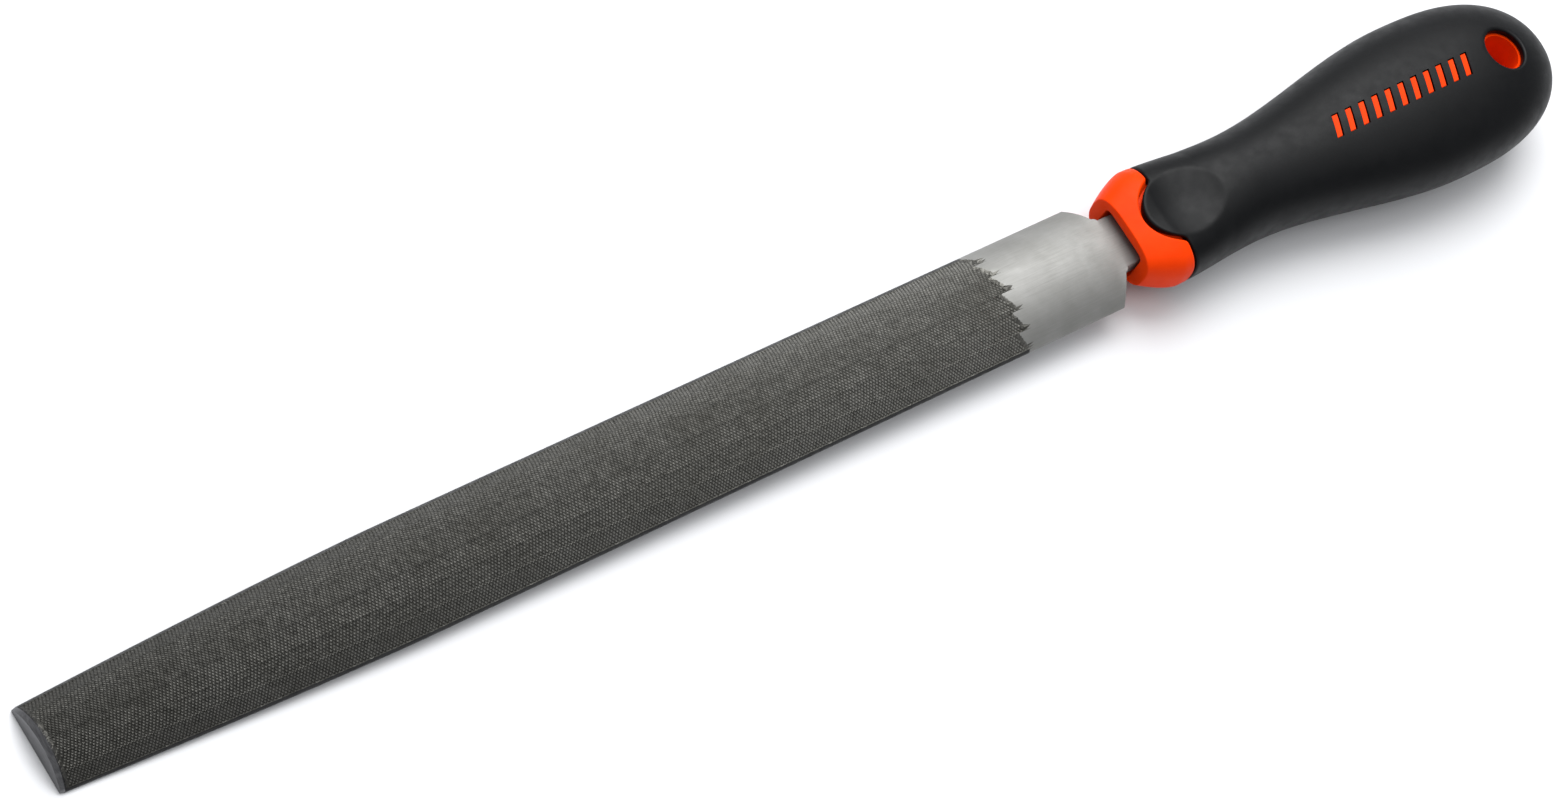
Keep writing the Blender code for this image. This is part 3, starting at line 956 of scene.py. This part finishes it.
def mark_block(index, gap, top_inset, floor_inset):
    """One slanted bar, from a floor inside the handle up to a top that follows its face."""
    across, along = MARK_POINTS
    half_length, half_width = MARK_SIZE[0] / 2 + gap, MARK_SIZE[1] / 2 + gap
    centre = MARK_FIRST + index * MARK_PITCH
    edge = MARK_BEVEL if gap == 0 else 0.0
    outline = []
    ys = np.linspace(-half_width, half_width, across)
    for y in ys:
        outline.append((half_length, y))
    for x in np.linspace(half_length, -half_length, along)[1:-1]:
        outline.append((x, half_width))
    for y in ys[::-1]:
        outline.append((-half_length, y))
    for x in np.linspace(-half_length, half_length, along)[1:-1]:
        outline.append((x, -half_width))
    outline = np.array(outline)
    rings = []
    levels = [(0.0, floor_inset, 0.0), (0.0, top_inset, edge), (edge, top_inset, 0.0)]
    for shrink, inset, drop in levels:
        x = outline[:, 0] * (1 - shrink / half_length)
        y = outline[:, 1] * (1 - shrink / half_width)
        s = centre + x + MARK_SLANT * y / (2 * half_width)
        rings.append(np.stack([FRONT_X + s, y, AXIS_Z + top_height(s, y, inset) - drop], axis=1))
    low = (FRONT_X + centre, 0.0, AXIS_Z + float(top_height(centre, 0.0, floor_inset)))
    high = (FRONT_X + centre, 0.0, AXIS_Z + float(top_height(centre, 0.0, top_inset)))
    points, faces = tube(rings, low, high)
    return add_piece("mark_" + str(index), points, faces, [])


def socket_rings():
    """Rings from the end of the tang's socket, out through the slot to its rounded lip."""
    angles = even_angles(*SLOT, SLOT_SQUARENESS)

    def ring(x, sizes):
        y, z = oval(*sizes, SLOT_SQUARENESS, angles)
        return np.stack([np.full(AROUND, x), y, AXIS_Z + z], axis=1)

    rings = []
    for x in (TANG_END_X + SOCKET_GAP, FRONT_X + SLOT_DEPTH):
        share = (x - HEEL_X) / (TANG_END_X - HEEL_X)
        sizes = [r + (e - r) * share + SOCKET_GAP for r, e in zip(TANG_ROOT, TANG_END)]
        rings.append(ring(x, sizes))
    slot = [(SLOT_DEPTH, 0.0), (SLOT_DEPTH / 2, 0.0)]
    for turn in np.linspace(0.0, pi / 2, 4):
        slot.append((LIP_ROUNDING * (1 - sin(turn)), LIP_ROUNDING * (1 - cos(turn))))
    return rings + [ring(FRONT_X + s, (SLOT[0] + grow, SLOT[1] + grow)) for s, grow in slot]


def build_core():
    """The rigid moulding: tang socket, slot, collar, and the body under the grip with its marks."""
    seam, stretch = seam_curve(GROOVE_WIDTH)
    rings = socket_rings()
    for turn in np.linspace(0.0, pi / 2, 4):
        rings.append(handle_ring(LIP_ROUNDING * (1 - cos(turn)), LIP_ROUNDING * (1 - sin(turn))))
    end = seam - SEAM_ROUNDING * stretch
    for share in np.linspace(0.0, 1.0, COLLAR_ROWS)[1:]:
        rings.append(handle_ring(LIP_ROUNDING + (end - LIP_ROUNDING) * share**COLLAR_BUNCHING))
    rings += rounded_edge(seam, stretch, GRIP_WALL, -1, SEAM_ROUNDING)[:0:-1]
    for share in np.linspace(0.0, 1.0, CORE_NECK_ROWS):
        rings.append(handle_ring(seam + (STRAIGHT_FROM - seam) * share, GRIP_WALL))
    body_end = HANDLE_LENGTH - GRIP_WALL
    body = np.arange(STRAIGHT_FROM + CORE_STEP, BULB_AT, CORE_STEP)
    dome = butt_stations(body_end - DOME_INSET, CORE_BUTT_ROWS)
    rings += [handle_ring(s, GRIP_WALL) for s in (*body, *dome)]
    start_pole = (TANG_END_X + SOCKET_GAP, 0.0, AXIS_Z)
    end_pole = (FRONT_X + body_end - CORE_DOME_POLE, 0.0, AXIS_Z)
    points, faces = tube(rings, start_pole, end_pole)
    piece = add_piece("core", points, faces, [orange_material()])
    for index in range(MARK_COUNT):
        cut(piece, mark_block(index, 0.0, MARK_SINK, MARK_ROOT), "UNION")
    cut(piece, hole_cutter("hole_cutter", HOLE_RADIUS, 0.0))
    piece.data.set_sharp_from_angle(angle=radians(SHARP_ANGLE))
    place(piece, "handle_core")


# Studio --------------------------------------------------------------------------------------
def make_floor():
    """A pale floor that touches the tip's lower edge and the bottom of the bulb."""
    tip = Vector((BLADE_LOW.x, 0.0, BLADE_LOW.z))
    bulb = Vector(((FRONT_X + BULB_AT) * MM, 0.0, GRIP_LOW.z))
    run = bulb - tip
    mesh = bpy.data.meshes.new("floor")
    size = FLOOR_HALF
    corners = [(-size, -size, 0), (size, -size, 0), (size, size, 0), (-size, size, 0)]
    mesh.from_pydata(corners, [], [(0, 1, 2, 3)])
    floor = bpy.data.objects.new("floor", mesh)
    bpy.context.scene.collection.objects.link(floor)
    floor.location = tip - Vector((0.0, 0.0, FLOOR_GAP))
    floor.rotation_euler = (0.0, -atan2(run.z, run.x), 0.0)
    n = Nodes("floor_paper")
    n.set(Base_Color=FLOOR_COLOUR, Roughness=0.9, Specular_IOR_Level=0.1)
    mesh.materials.append(n.material)


def add_light(name, place_at, size, power):
    """A square soft light aimed at the middle of the file."""
    data = bpy.data.lights.new(name, "AREA")
    data.shape = "SQUARE"
    data.size = size
    data.energy = power
    light = bpy.data.objects.new(name, data)
    bpy.context.scene.collection.objects.link(light)
    light.location = place_at
    ray = Vector(LIGHT_AIM) - Vector(place_at)
    light.rotation_euler = ray.to_track_quat("-Z", "Y").to_euler()


def make_studio():
    """A soft light high on the far side, another from straight above, and a pale surround."""
    world = bpy.data.worlds.new("studio")
    bpy.context.scene.world = world
    world.use_nodes = True
    background = world.node_tree.nodes["Background"]
    background.inputs["Color"].default_value = WORLD_COLOUR
    background.inputs["Strength"].default_value = WORLD_STRENGTH
    for name, place_at, size, power in LIGHTS:
        add_light(name, place_at, size, power)
    bpy.context.scene.view_settings.view_transform = "Standard"
    bpy.context.scene.view_settings.look = "None"


def make_camera():
    """The photograph's viewpoint: high, in front and to the left, rolled to lay the file across."""
    data = bpy.data.cameras.new("camera")
    data.lens = CAMERA_LENS
    data.sensor_width = 36.0
    data.clip_start = 0.01
    camera = bpy.data.objects.new("camera", data)
    bpy.context.scene.collection.objects.link(camera)
    place_at = Vector(CAMERA_PLACE)
    back = Vector(CAMERA_BACK).normalized()
    right = Vector(CAMERA_RIGHT)
    right = (right - back * right.dot(back)).normalized()
    up = back.cross(right)
    turn = Matrix((right, up, back)).transposed().to_4x4()
    camera.matrix_world = Matrix.Translation(place_at) @ turn
    bpy.context.scene.camera = camera


make_camera()
make_floor()
make_studio()
build_blade()
build_core()
build_grip()
